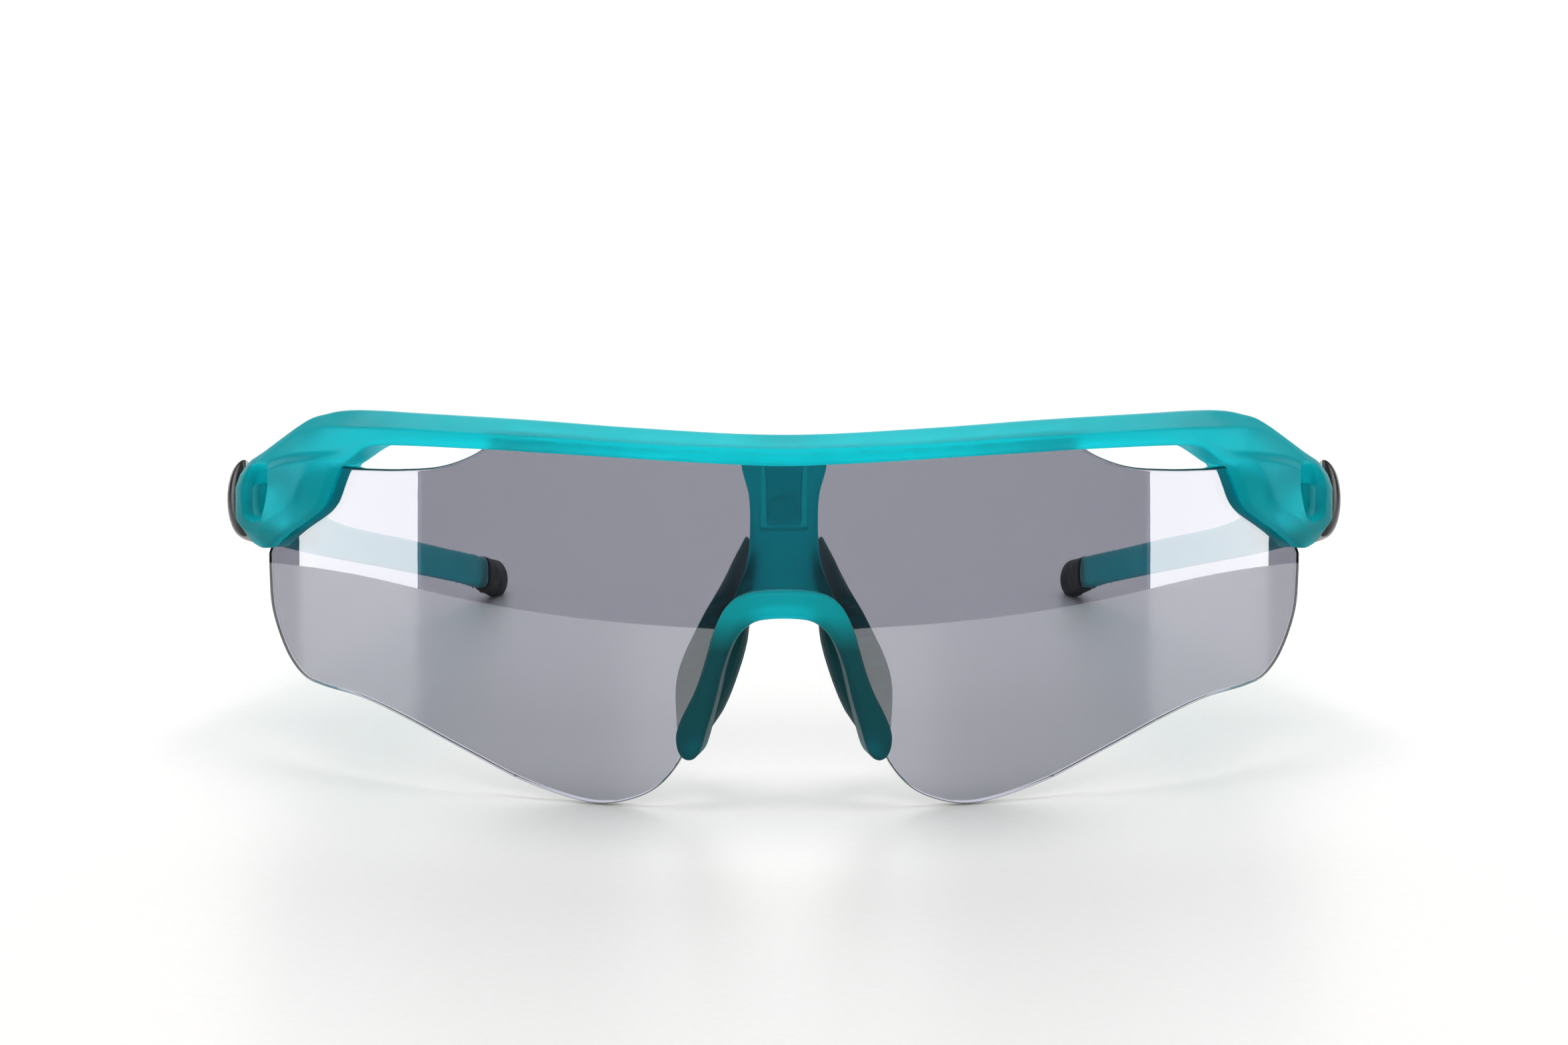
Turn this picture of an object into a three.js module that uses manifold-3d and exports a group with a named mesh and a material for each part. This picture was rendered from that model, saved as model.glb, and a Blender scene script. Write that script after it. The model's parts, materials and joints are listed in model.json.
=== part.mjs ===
// Wraparound sport sunglasses: a half-rim front with one curved shield lens, a nose piece and two folding
// arms. Millimetres, +Z up, the lens faces -Y, and the wearer's left is +X. The origin is on the table, under
// the middle of the whole object.
//
// The front is drawn on the "sheet": a cylinder with its axis upright. A point on it is (s, n, z), where
// s is the length along the lens's front face from the middle, n is the distance out in front of that face,
// and z is the height. Past the lens the sheet bends sharply and runs straight back as the side wall.

import * as THREE from 'three';
import { mergeVertices } from 'three/addons/utils/BufferGeometryUtils.js';
import Module from 'manifold-3d';

const wasm = await Module();
wasm.setup();

// ---------------------------------------------------------------- driving dimensions

const LEAN_DEG = 4; // the front leans back by this much when the glasses lie on a table
const CENTRE_TO_APEX = 77.94; // from the middle of the whole object to the foot of the lens
const GAP = 0.3; // clearance between neighbouring pieces

const LENS_RADIUS = 84;
const LENS_THICKNESS = 2;
const BEND_DEG = 52; // where the sheet leaves the cylinder
const BEND_RADIUS = 4;
const WALL_END_Y = 41.5; // rear end of the lug's side wall

const HINGE_X = 66;
const HINGE_Y = 43.6;
const FORK_RADIUS = 2.6;
const FORK_TOP = [37.2, 39.2]; // heights of the upper fork plate
const FORK_BOTTOM = [31, 33]; // heights of the lower fork plate
const SCREW_RADIUS = 0.7;
const SCREW_HEAD_RADIUS = 1.3;
const SCREW_HEAD_HEIGHT = 0.7;
const NUT_RADIUS = 1.5;

const TIP_START_Y = 143;
const TIP_END_Y = 155.8;

const COLOURS = {
  teal: { color: 0x0c9fa6, roughness: 0.55, metalness: 0 },
  smoke: { color: 0x8c8c99, roughness: 0.05, metalness: 0, transparent: true, opacity: 0.55 },
  black_rubber: { color: 0x17181a, roughness: 0.75, metalness: 0 },
  black_gloss: { color: 0x141416, roughness: 0.08, metalness: 0 },
  steel: { color: 0xb9bcc0, roughness: 0.3, metalness: 1 },
  brass: { color: 0xc19a4b, roughness: 0.35, metalness: 1 },
};

// ---------------------------------------------------------------- the sheet

const rad = THREE.MathUtils.degToRad;
const BEND_START = LENS_RADIUS * rad(BEND_DEG);
const BEND_END = BEND_START + BEND_RADIUS * rad(90 - BEND_DEG);
const BEND_X = (LENS_RADIUS - BEND_RADIUS) * Math.sin(rad(BEND_DEG));
const BEND_Y = LENS_RADIUS - (LENS_RADIUS - BEND_RADIUS) * Math.cos(rad(BEND_DEG));
const SHEET_END = BEND_END + WALL_END_Y - BEND_Y;

function onCylinder(s, n, z) {
  const angle = s / LENS_RADIUS;
  const r = LENS_RADIUS + n;
  return new THREE.Vector3(r * Math.sin(angle), LENS_RADIUS - r * Math.cos(angle), z);
}

function onSheet(s, n, z) {
  const along = Math.abs(s);
  const side = s < 0 ? -1 : 1;
  if (along <= BEND_START) return onCylinder(s, n, z);
  const r = BEND_RADIUS + n;
  const angle = Math.min(rad(BEND_DEG) + (along - BEND_START) / BEND_RADIUS, rad(90));
  const back = Math.max(along - BEND_END, 0);
  return new THREE.Vector3(side * (BEND_X + r * Math.sin(angle)), BEND_Y - r * Math.cos(angle) + back, z);
}

// ---------------------------------------------------------------- making solids

function signedVolume(geometry) {
  const at = geometry.attributes.position;
  const index = geometry.index.array;
  const [a, b, c] = [new THREE.Vector3(), new THREE.Vector3(), new THREE.Vector3()];
  let volume = 0;
  for (let i = 0; i < index.length; i += 3) {
    a.fromBufferAttribute(at, index[i]);
    b.fromBufferAttribute(at, index[i + 1]);
    c.fromBufferAttribute(at, index[i + 2]);
    volume += a.dot(b.cross(c)) / 6;
  }
  return volume;
}

// Keeps only the positions, joins equal vertices and makes the faces point out.
function closed(geometry) {
  const bare = new THREE.BufferGeometry();
  bare.setAttribute('position', geometry.attributes.position.clone());
  if (geometry.index) bare.setIndex(geometry.index.clone());
  const solid = mergeVertices(bare, 1e-4);
  if (signedVolume(solid) < 0) {
    const index = solid.index.array;
    for (let i = 0; i < index.length; i += 3) [index[i], index[i + 1]] = [index[i + 1], index[i]];
  }
  return solid;
}

function fromPoints(points, index) {
  const geometry = new THREE.BufferGeometry();
  geometry.setAttribute('position', new THREE.Float32BufferAttribute(points.flatMap((p) => p.toArray()), 3));
  geometry.setIndex(index);
  return closed(geometry);
}

// A closed solid through rings of points. Each ring has the same number of points, and the ends are fans.
function loft(rings) {
  const count = rings[0].length;
  const points = rings.flat();
  const index = [];
  for (let ring = 0; ring < rings.length - 1; ring += 1) {
    for (let i = 0; i < count; i += 1) {
      const next = (i + 1) % count;
      const a = ring * count + i;
      const b = ring * count + next;
      index.push(a, b, a + count, b, b + count, a + count);
    }
  }
  for (const [first, flip] of [[0, true], [(rings.length - 1) * count, false]]) {
    const middle = new THREE.Vector3();
    for (let i = 0; i < count; i += 1) middle.add(points[first + i]);
    points.push(middle.divideScalar(count));
    for (let i = 0; i < count; i += 1) {
      const edge = [first + i, first + ((i + 1) % count)];
      index.push(points.length - 1, ...(flip ? edge.reverse() : edge));
    }
  }
  return fromPoints(points, index);
}

function toManifold(geometry) {
  const solid = closed(geometry);
  const vertProperties = new Float32Array(solid.attributes.position.array);
  const triVerts = new Uint32Array(solid.index.array);
  return new wasm.Manifold(new wasm.Mesh({ numProp: 3, vertProperties, triVerts }));
}

function fromManifold(manifold) {
  const mesh = manifold.getMesh();
  const geometry = new THREE.BufferGeometry();
  geometry.setAttribute('position', new THREE.Float32BufferAttribute(mesh.vertProperties, 3));
  geometry.setIndex(Array.from(mesh.triVerts));
  return geometry;
}

function join(first, ...rest) {
  return fromManifold(rest.reduce((sum, next) => sum.add(toManifold(next)), toManifold(first)));
}

function cut(body, ...tools) {
  return fromManifold(tools.reduce((left, tool) => left.subtract(toManifold(tool)), toManifold(body)));
}

function mirrored(geometry) {
  const copy = geometry.clone();
  copy.applyMatrix4(new THREE.Matrix4().makeScale(-1, 1, 1));
  return closed(copy);
}

function bothSides(geometry) {
  return [geometry, mirrored(geometry)];
}

function block(x, y, z) {
  const geometry = new THREE.BoxGeometry(x[1] - x[0], y[1] - y[0], z[1] - z[0]);
  return geometry.translate((x[0] + x[1]) / 2, (y[0] + y[1]) / 2, (z[0] + z[1]) / 2);
}

// An upright round post on the hinge line, between two heights.
function post(radius, z, sides = 20) {
  const geometry = new THREE.CylinderGeometry(radius, radius, z[1] - z[0], sides);
  return geometry.rotateX(Math.PI / 2).translate(HINGE_X, HINGE_Y, (z[0] + z[1]) / 2);
}

// A closed outline whose corners are rounded off. soften = 1 turns the whole outline into one smooth curve.
function softOutline(corners, soften = 1) {
  const points = corners.map(([x, y]) => new THREE.Vector2(x, y));
  const shape = new THREE.Shape();
  points.forEach((corner, i) => {
    const before = points.at(i - 1).clone().lerp(corner, 1 - soften / 2);
    const after = corner.clone().lerp(points[(i + 1) % points.length], soften / 2);
    if (i === 0) shape.moveTo(before.x, before.y);
    else if (soften < 1) shape.lineTo(before.x, before.y);
    shape.quadraticCurveTo(corner.x, corner.y, after.x, after.y);
  });
  return shape;
}

// The same outline on both sides of x = 0, from the points of its right half, top to foot.
function symmetric(rightHalf) {
  const leftHalf = rightHalf.filter(([x]) => x > 0).map(([x, z]) => [-x, z]).reverse();
  return [...rightHalf, ...leftHalf];
}

// An outline in (s, z), given thickness from n = back to n = front with small round edges, on the cylinder.
function plateOnLens(shape, back, front, edge = 0.4) {
  const geometry = new THREE.ExtrudeGeometry(shape, {
    depth: front - back - 2 * edge,
    curveSegments: 2,
    bevelThickness: edge,
    bevelSize: edge,
    bevelOffset: -edge,
    bevelSegments: 1,
  });
  const at = geometry.attributes.position;
  for (let i = 0; i < at.count; i += 1) {
    const p = onCylinder(at.getX(i), at.getZ(i) + back + edge, at.getY(i));
    at.setXYZ(i, p.x, p.y, p.z);
  }
  return closed(geometry);
}

function smoothCurve(points) {
  return new THREE.CatmullRomCurve3(points, false, 'centripetal');
}

// A rail is a smooth line through points [s, z, n], and gives its height and offset at any s.
// One that starts at s = 0 runs level there, so its two halves meet without a kink.
function rail(points) {
  const through = points.map(([s, z, n]) => new THREE.Vector3(s, z, n));
  if (points[0][0] === 0) through.unshift(new THREE.Vector3(-points[1][0], points[1][1], points[1][2]));
  const line = smoothCurve(through).getPoints(through.length * 16);
  return (s) => {
    const beyond = line.findIndex((p) => p.x >= s);
    const next = beyond < 0 ? line.length - 1 : Math.max(1, beyond);
    const [a, b] = [line[next - 1], line[next]];
    const p = a.clone().lerp(b, THREE.MathUtils.clamp((s - a.x) / (b.x - a.x || 1), 0, 1));
    return { z: p.y, n: p.z };
  };
}

// ---------------------------------------------------------------- shield lens

const LENS_LOWER_EDGE = [
  [0, 25.2], [3, 25], [5.6, 23.2], [7.5, 20], [8.9, 16], [10.5, 12], [11.8, 8], [13.2, 5.2], [15.8, 2.4],
  [19.3, 0.85], [22.7, 0.35], [26.2, 0.75], [33.3, 2.7], [40.9, 5.7], [51.2, 9.5], [58, 11.3], [65.7, 12.2],
  [69, 12.9], [72.2, 14.9], [75, 18.2], [76.8, 21.8], [77.3, 26.4],
];

const LENS_UPPER_EDGE = [
  [0, 43.1], [14, 43.5], [26, 44.2], [34.5, 44.7], [36.6, 44.5], [37.9, 43.7], [40.1, 42.5],
  [44.5, 41.1], [50.7, 40.5], [57, 40.3], [65.5, 40.1], [67.6, 38.4], [69.2, 35.4], [71.2, 33.4],
  [74, 31.6], [76.2, 29.9], [77.3, 28.4],
];

// The lens, or with grow > 0 the slot that takes it: a strip of columns between its two edges.
function lensSolid(grow = 0) {
  const lower = rail(LENS_LOWER_EDGE.map(([s, z]) => [s, z, 0]));
  const upper = rail(LENS_UPPER_EDGE.map(([s, z]) => [s, z, 0]));
  const end = LENS_UPPER_EDGE.at(-1)[0];
  const steps = [];
  for (let s = 0; s < 4; s += 2) steps.push(s);
  for (let s = 4; s < 24; s += 1.25) steps.push(s);
  for (let s = 24; s < 35; s += 3) steps.push(s);
  for (let s = 36; s < 44; s += 1.2) steps.push(s);
  for (let s = 44; s < 64; s += 2.5) steps.push(s);
  for (let s = 64; s < end - 0.4; s += 1) steps.push(s);
  steps.push(end - 0.3, end);
  const stations = [...steps.slice(1).reverse().map((s) => -s), ...steps];
  const columns = stations.map((s) => {
    const inside = Math.abs(s);
    const out = s * (1 + grow / end);
    const top = upper(inside).z + grow;
    const bottom = lower(inside).z - grow;
    return [
      onCylinder(out, grow, top),
      onCylinder(out, grow, bottom),
      onCylinder(out, -LENS_THICKNESS - grow, bottom),
      onCylinder(out, -LENS_THICKNESS - grow, top),
    ];
  });
  return loft(columns);
}

// ---------------------------------------------------------------- front frame

// Lines that run from the middle of the brow out over the lug to the side wall, as [s, z, n].
const RIDGE = rail([
  [0, 45.65, -0.5], [18.8, 46.4, -0.5], [30, 47, -0.5], [38, 47.3, -0.5], [50, 47.55, -0.5],
  [56.5, 47.65, -0.3], [59.1, 47.6, 0.5], [61, 47.4, 0.9], [63, 47, 1.1], [65, 46.5, 1.5],
  [67.3, 45.4, 1.9], [69.5, 44.3, 2], [72, 43, 2.2], [74, 42, 2.3], [76.5, 40.9, 2.4], [78, 40.2, 2.3],
  [86, 40.1, 2],
]);
const BEVEL = rail([
  [0, 44.05, 3.2], [13.6, 44.4, 3.2], [28, 45.1, 3.2], [40, 45.5, 3.2], [48, 45.7, 3.2],
  [56.5, 45.6, 3.2], [60, 45.5, 3], [63, 45.2, 2.8], [66.5, 44.4, 2.6], [69.5, 43, 2.7],
  [72.9, 41.2, 3], [75.6, 39.9, 3.2], [78, 39.2, 3], [86, 39.1, 2.7],
]);
const VALLEY = rail([
  [0, 43.8, 2.7], [13.6, 44.15, 2.7], [28, 44.85, 2.8], [40, 45.2, 3.1], [50, 45, 3.1],
  [54, 44.5, 2.9], [58.6, 42.8, 2.6], [65.2, 42, 2.6], [70.2, 41.2, 2.9], [74, 39.7, 3.4],
  [78, 38.5, 3.5], [86, 38.4, 3.2],
]);
const PANEL_TOP = rail([
  [0, 43.55, 3.15], [13.6, 43.9, 3.15], [28, 44.6, 3.2], [40, 44.9, 3.2], [50, 44.6, 3.1],
  [54, 44.1, 2.9], [58.8, 42.2, 2.8], [63.4, 41.3, 3.6], [70, 40, 4], [74.5, 37.8, 4.1],
  [78, 36.8, 4.1], [86, 36.6, 3.9],
]);
const PANEL_FOOT = rail([
  [0, 42.8, 3.05], [13.6, 43.2, 3.05], [28, 43.9, 3.1], [40, 44.2, 3.1], [50, 44, 3], [54, 43.4, 2.8],
  [57.4, 41.6, 2.7], [60.5, 41.3, 3.1], [62.4, 41, 3.5], [63.6, 39.9, 3.9], [64.8, 38, 4],
  [66.1, 36, 4], [71.4, 33.3, 4], [74.5, 31.4, 3.8], [76.6, 31.8, 3.9], [78, 32.7, 4.1],
  [86, 32.8, 3.9],
]);
const LIP = rail([
  [0, 42, 2.3], [10, 42.35, 2.3], [18.8, 42.8, 2.3], [28, 43.2, 2.4], [37, 43.5, 2.4],
  [52.4, 43.45, 2.4], [54.2, 43.1, 2.4], [55.8, 42.2, 2.4], [57.7, 41.1, 2.3], [59.5, 40.65, 2.1],
  [60.5, 40.45, 2], [61.1, 39.9, 2], [61.8, 38.9, 2], [62.7, 37.2, 2], [63.6, 35.6, 2],
  [64.8, 34.5, 2], [66.9, 33.35, 2], [69.5, 32.15, 2], [72, 30.9, 2], [73.8, 29.9, 2], [75.2, 29.2, 2],
  [76.8, 29.6, 2.2], [78, 30.3, 2.3], [86, 30.4, 2],
]);
const REAR_LIP = rail([
  [0, 42.5, 0], [18.8, 42.9, 0], [37, 43.4, 0], [53.6, 43.4, 0], [55.8, 43, 0], [60.2, 40.9, 0],
  [61.3, 40.4, 0], [61.9, 39.7, 0], [62.7, 38.4, 0], [63.6, 36.7, 0], [64.5, 35.3, 0], [65.5, 34.4, 0],
  [66.6, 33.6, 0], [68.4, 32.6, 0], [70.6, 31.5, 0], [72.8, 30.6, 0], [74.6, 30.1, 0], [76.8, 29.9, 0],
  [78, 30.4, 0], [86, 30.4, 0],
]);
const REAR_FACE = rail([[0, 0, -3.8], [76, 0, -3.8], [78.6, 0, -3.4], [80.2, 0, -0.6], [86, 0, -0.4]]);

// The front and rear lips hold the lens between them. They start this far in front of its front face.
const FRONT_LIP_BACK = -0.8;
const REAR_LIP_FRONT = -2.6;

// The closed outline of the front frame in (n, z) at one place along the sheet.
function frameRing(s) {
  const along = Math.abs(s);
  const rear = REAR_FACE(along).n;
  const lip = LIP(along);
  const rearLip = REAR_LIP(along);
  const ridge = RIDGE(along);
  const outline = [RIDGE, BEVEL, VALLEY, PANEL_TOP, PANEL_FOOT, LIP].map((line) => line(along));
  outline.push({ z: lip.z, n: Math.max(FRONT_LIP_BACK, rear + 0.9) });
  outline.push({ z: rearLip.z, n: Math.max(REAR_LIP_FRONT, rear + 0.6) });
  outline.push({ z: rearLip.z, n: rear + 0.4 });
  outline.push({ z: rearLip.z + 0.5, n: rear });
  outline.push({ z: ridge.z - 0.9, n: rear });
  outline.push({ z: ridge.z - 0.2, n: rear + 0.8 });
  return outline.map(({ z, n }) => onSheet(s, n, z));
}

function frameBody() {
  const steps = [];
  for (let s = 0; s < 48; s += 4) steps.push(s);
  for (let s = 48; s < 57; s += 1.2) steps.push(s);
  for (let s = 57.2; s < 67; s += 0.65) steps.push(s);
  for (let s = 67.4; s < 80.6; s += 1.1) steps.push(s);
  steps.push(82.5, SHEET_END);
  const stations = [...steps.slice(1).reverse().map((s) => -s), ...steps];
  return loft(stations.map(frameRing));
}

// The window beside the hinge runs straight back.
// Its D-shaped mouth narrows to a slot that opens into the hinge.
const WINDOW_MOUTH = [
  [65.8, 40.3], [67.5, 40.2], [68.9, 39.6], [69.5, 38.2], [69.9, 35.4], [69.6, 33.3], [68.6, 32.9], [67, 32.9],
  [66.2, 35.3], [65.8, 37.6],
];
const WINDOW_SLOT = [
  [65.9, 37.5], [67.4, 37.5], [68.2, 37.4], [68.5, 37], [68.6, 35.4], [68.5, 33.7], [68.1, 33.3], [67.2, 33.2],
  [66.2, 33.9], [65.9, 35.7],
];
const WINDOW_DEPTHS = { front: 18, mouth: 30.3, slot: 32.2, rear: 39 };

function windowTool() {
  const ring = (outline, y) => outline.map(([x, z]) => new THREE.Vector3(x, y, z));
  const { front, mouth, slot, rear } = WINDOW_DEPTHS;
  return loft([
    ring(WINDOW_MOUTH, front),
    ring(WINDOW_MOUTH, mouth),
    ring(WINDOW_SLOT, slot),
    ring(WINDOW_SLOT, rear),
  ]);
}

function fork(z) {
  const shape = new THREE.Shape();
  shape.moveTo(HINGE_X - FORK_RADIUS, HINGE_Y);
  shape.lineTo(HINGE_X - FORK_RADIUS, 38);
  shape.lineTo(60.6, 33);
  shape.lineTo(63.5, 30.4);
  shape.lineTo(68.6, 34);
  shape.lineTo(68.6, WALL_END_Y);
  shape.lineTo(HINGE_X + 2.2, WALL_END_Y);
  shape.lineTo(HINGE_X + 2.2, HINGE_Y);
  const arm = new THREE.ExtrudeGeometry(shape, { depth: z[1] - z[0], bevelEnabled: false });
  return join(arm.translate(0, 0, z[0]), post(FORK_RADIUS, z));
}

// The springy tongue behind the lens that the nose piece is snapped onto, with its raised button.
const TONGUE = { halfWidth: 2.2, foot: 34.4, front: 2.6, back: 3.6 };
const BUTTON = { halfWidth: 2.05, heights: [34.5, 37.9], front: 2.35 };

function tongue() {
  const { halfWidth, foot, front, back } = TONGUE;
  const [low, high] = BUTTON.heights;
  const strip = symmetric([[halfWidth + 0.3, 43.3], [halfWidth, 39], [halfWidth, foot]]);
  const button = symmetric([[1.3, high], [BUTTON.halfWidth, 36], [BUTTON.halfWidth, low]]);
  return join(
    plateOnLens(softOutline(strip, 0.3), -back, -front, 0.1),
    plateOnLens(softOutline(button, 0.6), -back, -BUTTON.front, 0.1),
  );
}

function frontFrame() {
  const forks = bothSides(join(fork(FORK_TOP), fork(FORK_BOTTOM)));
  const body = join(frameBody(), tongue(), ...forks);
  const screwHole = post(SCREW_RADIUS + GAP, [26, 44]);
  const headSeat = post(SCREW_HEAD_RADIUS + GAP, [FORK_TOP[1] - SCREW_HEAD_HEIGHT - GAP, 44]);
  const nutSeat = post(NUT_RADIUS + GAP, [26, FORK_BOTTOM[1] - 0.5]);
  const hingeSpace = block([62.2, 68.3], [32, 46], [FORK_BOTTOM[1], FORK_TOP[0]]);
  const tools = [windowTool(), screwHole, headSeat, nutSeat, hingeSpace];
  return cut(body, lensSolid(GAP), ...tools.flatMap(bothSides));
}

// ---------------------------------------------------------------- nose piece

// The upside-down U that clips over the edge of the lens's nose notch.
const RIM_OUTER = [
  [3.4, 26.9], [6.6, 25.7], [8.4, 22.3], [9.4, 18.3], [10.6, 14.6], [12.3, 11.4], [13.2, 8.9], [12.4, 6.1],
];
const RIM_INNER = [[10.3, 6.2], [9.1, 10.3], [8.1, 13.6], [7.2, 17.6], [6, 20.8], [3.9, 23.1], [1.6, 23.5]];

function noseRim() {
  return plateOnLens(softOutline(symmetric([...RIM_OUTER, ...RIM_INNER])), -5.6, 1.7, 0.6);
}

// The stem behind the lens, from the rim up to the brow, with the channel that takes the tongue.
const STEM_SIDE = [
  [4, 42.5], [5.5, 42.5], [4.9, 40.2], [4.2, 38], [4.2, 32.5], [4.7, 29.2], [6, 26.4], [7.4, 22.6], [4, 24],
];

function noseStem() {
  const plate = plateOnLens(softOutline(symmetric(STEM_SIDE)), -5.6, -2.4, 0.35);
  return cut(plate, block([-2.85, 2.85], [0, TONGUE.back + GAP], [TONGUE.foot - GAP, 46]));
}

// One side's nose pad: a curved wing from the rim's leg in to the nose and back out. t runs from top to foot.
const PAD_ROOT = [[3.4, 6.4, 30], [4.9, 5.2, 25], [7.3, 4.6, 19.5], [9.3, 4.7, 13.5], [11, 4.9, 8.4]];
const PAD_RIDGE = [[3, 9, 31], [3.4, 8.4, 25], [1.8, 8.2, 19.6], [3.4, 8, 13.5], [7.6, 7.8, 7.9]];
const PAD_RIM = [[4.6, 15.4, 32.2], [7.1, 16, 26.8], [10.3, 16, 21.2], [13, 15.6, 14.8], [13.2, 13.6, 8.4]];

function wingCurve(points) {
  return smoothCurve(points.map((p) => new THREE.Vector3(...p)));
}

// The pad, or with grow > 0 the seat that takes its root.
function nosePad(grow = 0) {
  const [root, ridge, rim] = [PAD_ROOT, PAD_RIDGE, PAD_RIM].map(wingCurve);
  const [STEPS, ACROSS] = [14, 5];
  const rings = [];
  for (let i = 0; i <= STEPS; i += 1) {
    const t = i / STEPS;
    const across = new THREE.QuadraticBezierCurve3(root.getPoint(t), ridge.getPoint(t), rim.getPoint(t));
    const along = rim.getTangent(t).add(root.getTangent(t)).normalize();
    const taper = Math.min(1, 0.35 + 4 * t, 0.35 + 4 * (1 - t));
    const past = (i === STEPS ? grow : 0) - (i === 0 ? grow : 0);
    const [front, back] = [[], []];
    for (let j = 0; j <= ACROSS; j += 1) {
      const u = j / ACROSS;
      const edge = j === 0 || j === ACROSS ? 0.45 : 1;
      const half = (0.55 + 0.35 * u) * edge * taper + grow;
      const out = (j === ACROSS ? grow : 0) - (j === 0 ? grow : 0);
      const normal = across.getTangent(u).cross(along).normalize();
      const middle = across.getPoint(u);
      middle.addScaledVector(across.getTangent(u), out).addScaledVector(along, past);
      front.push(middle.clone().addScaledVector(normal, half));
      back.unshift(middle.clone().addScaledVector(normal, -half));
    }
    rings.push([...front, ...back]);
  }
  return loft(rings);
}

// A row of small square windows just inside the pad's rear rim lets it flex.
function padSlots() {
  const rim = wingCurve(PAD_RIM);
  const slots = [];
  for (let i = 0; i < 5; i += 1) {
    const at = rim.getPoint(0.38 + 0.105 * i);
    slots.push(new THREE.BoxGeometry(4.5, 1.6, 1.2).translate(at.x - 0.7, at.y - 1.7, at.z));
  }
  return slots;
}

function noseBridge() {
  const padSeats = bothSides(nosePad(GAP));
  return cut(join(noseRim(), noseStem()), lensSolid(GAP), ...padSeats);
}

// ---------------------------------------------------------------- arms

// Lines along the arm as [y, value]: its inner side, its outer side, its foot and its top.
const ARM_INNER = [[41, 64], [48, 64.6], [62, 62.2], [104, 54.7], [142, 47.7], [157, 44.7]];
const ARM_OUTER = [[41, 70.6], [48, 70.4], [55, 68.4], [63, 65.9], [104, 57.8], [142, 51], [157, 48]];
const ARM_FOOT = [[41, 30], [48.2, 28.6], [62, 25.7], [104, 19.1], [142, 12.9], [151.4, 10.45], [157, 9.9]];
const ARM_TOP = [[41, 39.9], [46, 38.9], [54, 34.8], [63, 30.8], [104, 23.8], [142, 17.9], [157, 15.5]];

function lineAt(points) {
  const line = rail(points.map(([y, value]) => [y, value, 0]));
  return (y) => line(y).z;
}

const arm = {
  inner: lineAt(ARM_INNER),
  outer: lineAt(ARM_OUTER),
  foot: lineAt(ARM_FOOT),
  top: lineAt(ARM_TOP),
};

// A rounded box outline across the arm at y, shrunk by inset on every side.
function armRing(y, inset = 0, squeeze = 1) {
  const x = [arm.inner(y) + inset, arm.outer(y) - inset];
  const z = [arm.foot(y) + inset, arm.top(y) - inset];
  const middle = [(x[0] + x[1]) / 2, (z[0] + z[1]) / 2];
  const half = [((x[1] - x[0]) / 2) * squeeze, ((z[1] - z[0]) / 2) * squeeze];
  const SIDES = 12;
  const POWER = 0.5; // below 1 the ellipse swells towards a box
  const points = [];
  for (let i = 0; i < SIDES; i += 1) {
    const angle = (2 * Math.PI * (i + 0.5)) / SIDES;
    const [c, s] = [Math.cos(angle), Math.sin(angle)];
    const px = middle[0] + half[0] * Math.sign(c) * Math.abs(c) ** POWER;
    const pz = middle[1] + half[1] * Math.sign(s) * Math.abs(s) ** POWER;
    points.push(new THREE.Vector3(px, y, pz));
  }
  return points;
}

const SPIGOT = { inset: 0.95, length: 9 };

function temple() {
  const rings = [armRing(WALL_END_Y + GAP, 0.25), armRing(WALL_END_Y + GAP + 0.4)];
  for (let y = 44; y < TIP_START_Y - GAP - 2; y += y < 66 ? 3 : 10) rings.push(armRing(y));
  rings.push(armRing(TIP_START_Y - GAP - 0.3), armRing(TIP_START_Y - GAP, 0.2));
  const spigot = loft([
    armRing(TIP_START_Y - 3, SPIGOT.inset),
    armRing(TIP_START_Y + SPIGOT.length - 0.6, SPIGOT.inset),
    armRing(TIP_START_Y + SPIGOT.length, SPIGOT.inset + 0.3),
  ]);
  const room = FORK_RADIUS + 2 * GAP;
  const body = cut(
    join(loft(rings), spigot),
    post(room, [26, 44]),
    block([60, HINGE_X + 2.2 + GAP], [40, HINGE_Y], [26, 44]),
    block([60, HINGE_X], [40, HINGE_Y + room], [26, 44]),
  );
  const heights = [FORK_BOTTOM[1] + GAP, FORK_TOP[0] - GAP];
  const web = block([HINGE_X - 1.4, HINGE_X + 1.8], [HINGE_Y, HINGE_Y + room + 1.6], heights);
  const knuckle = join(post(FORK_RADIUS, heights), web);
  return cut(join(body, knuckle), post(SCREW_RADIUS + GAP, [26, 44]));
}

// The rubber end sleeve. Its underside has a small flat, between these two y, that lies on the table.
const TIP_FLAT = [149.6, 152.2];

function templeTip() {
  const PROUD = -0.1;
  const rings = [armRing(TIP_START_Y, PROUD + 0.25), armRing(TIP_START_Y + 0.5, PROUD)];
  for (let y = TIP_START_Y + 2.5; y < TIP_FLAT[0] - 0.5; y += 2.5) rings.push(armRing(y, PROUD));
  rings.push(armRing(TIP_FLAT[0], PROUD), armRing((TIP_FLAT[0] + TIP_FLAT[1]) / 2, PROUD));
  const ROUND = 5;
  const roundLength = TIP_END_Y - TIP_FLAT[1];
  for (let i = 0; i <= ROUND; i += 1) {
    const turn = (Math.PI / 2) * (i / ROUND) * 0.93;
    rings.push(armRing(TIP_FLAT[1] + roundLength * Math.sin(turn), PROUD, Math.cos(turn)));
  }
  const socket = loft([
    armRing(TIP_START_Y - 1, SPIGOT.inset - GAP),
    armRing(TIP_START_Y + SPIGOT.length + GAP, SPIGOT.inset - GAP),
  ]);
  const table = block([30, 70], [130, 170], [-20, 0]).rotateX(rad(LEAN_DEG));
  return cut(loft(rings), socket, table);
}

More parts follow.
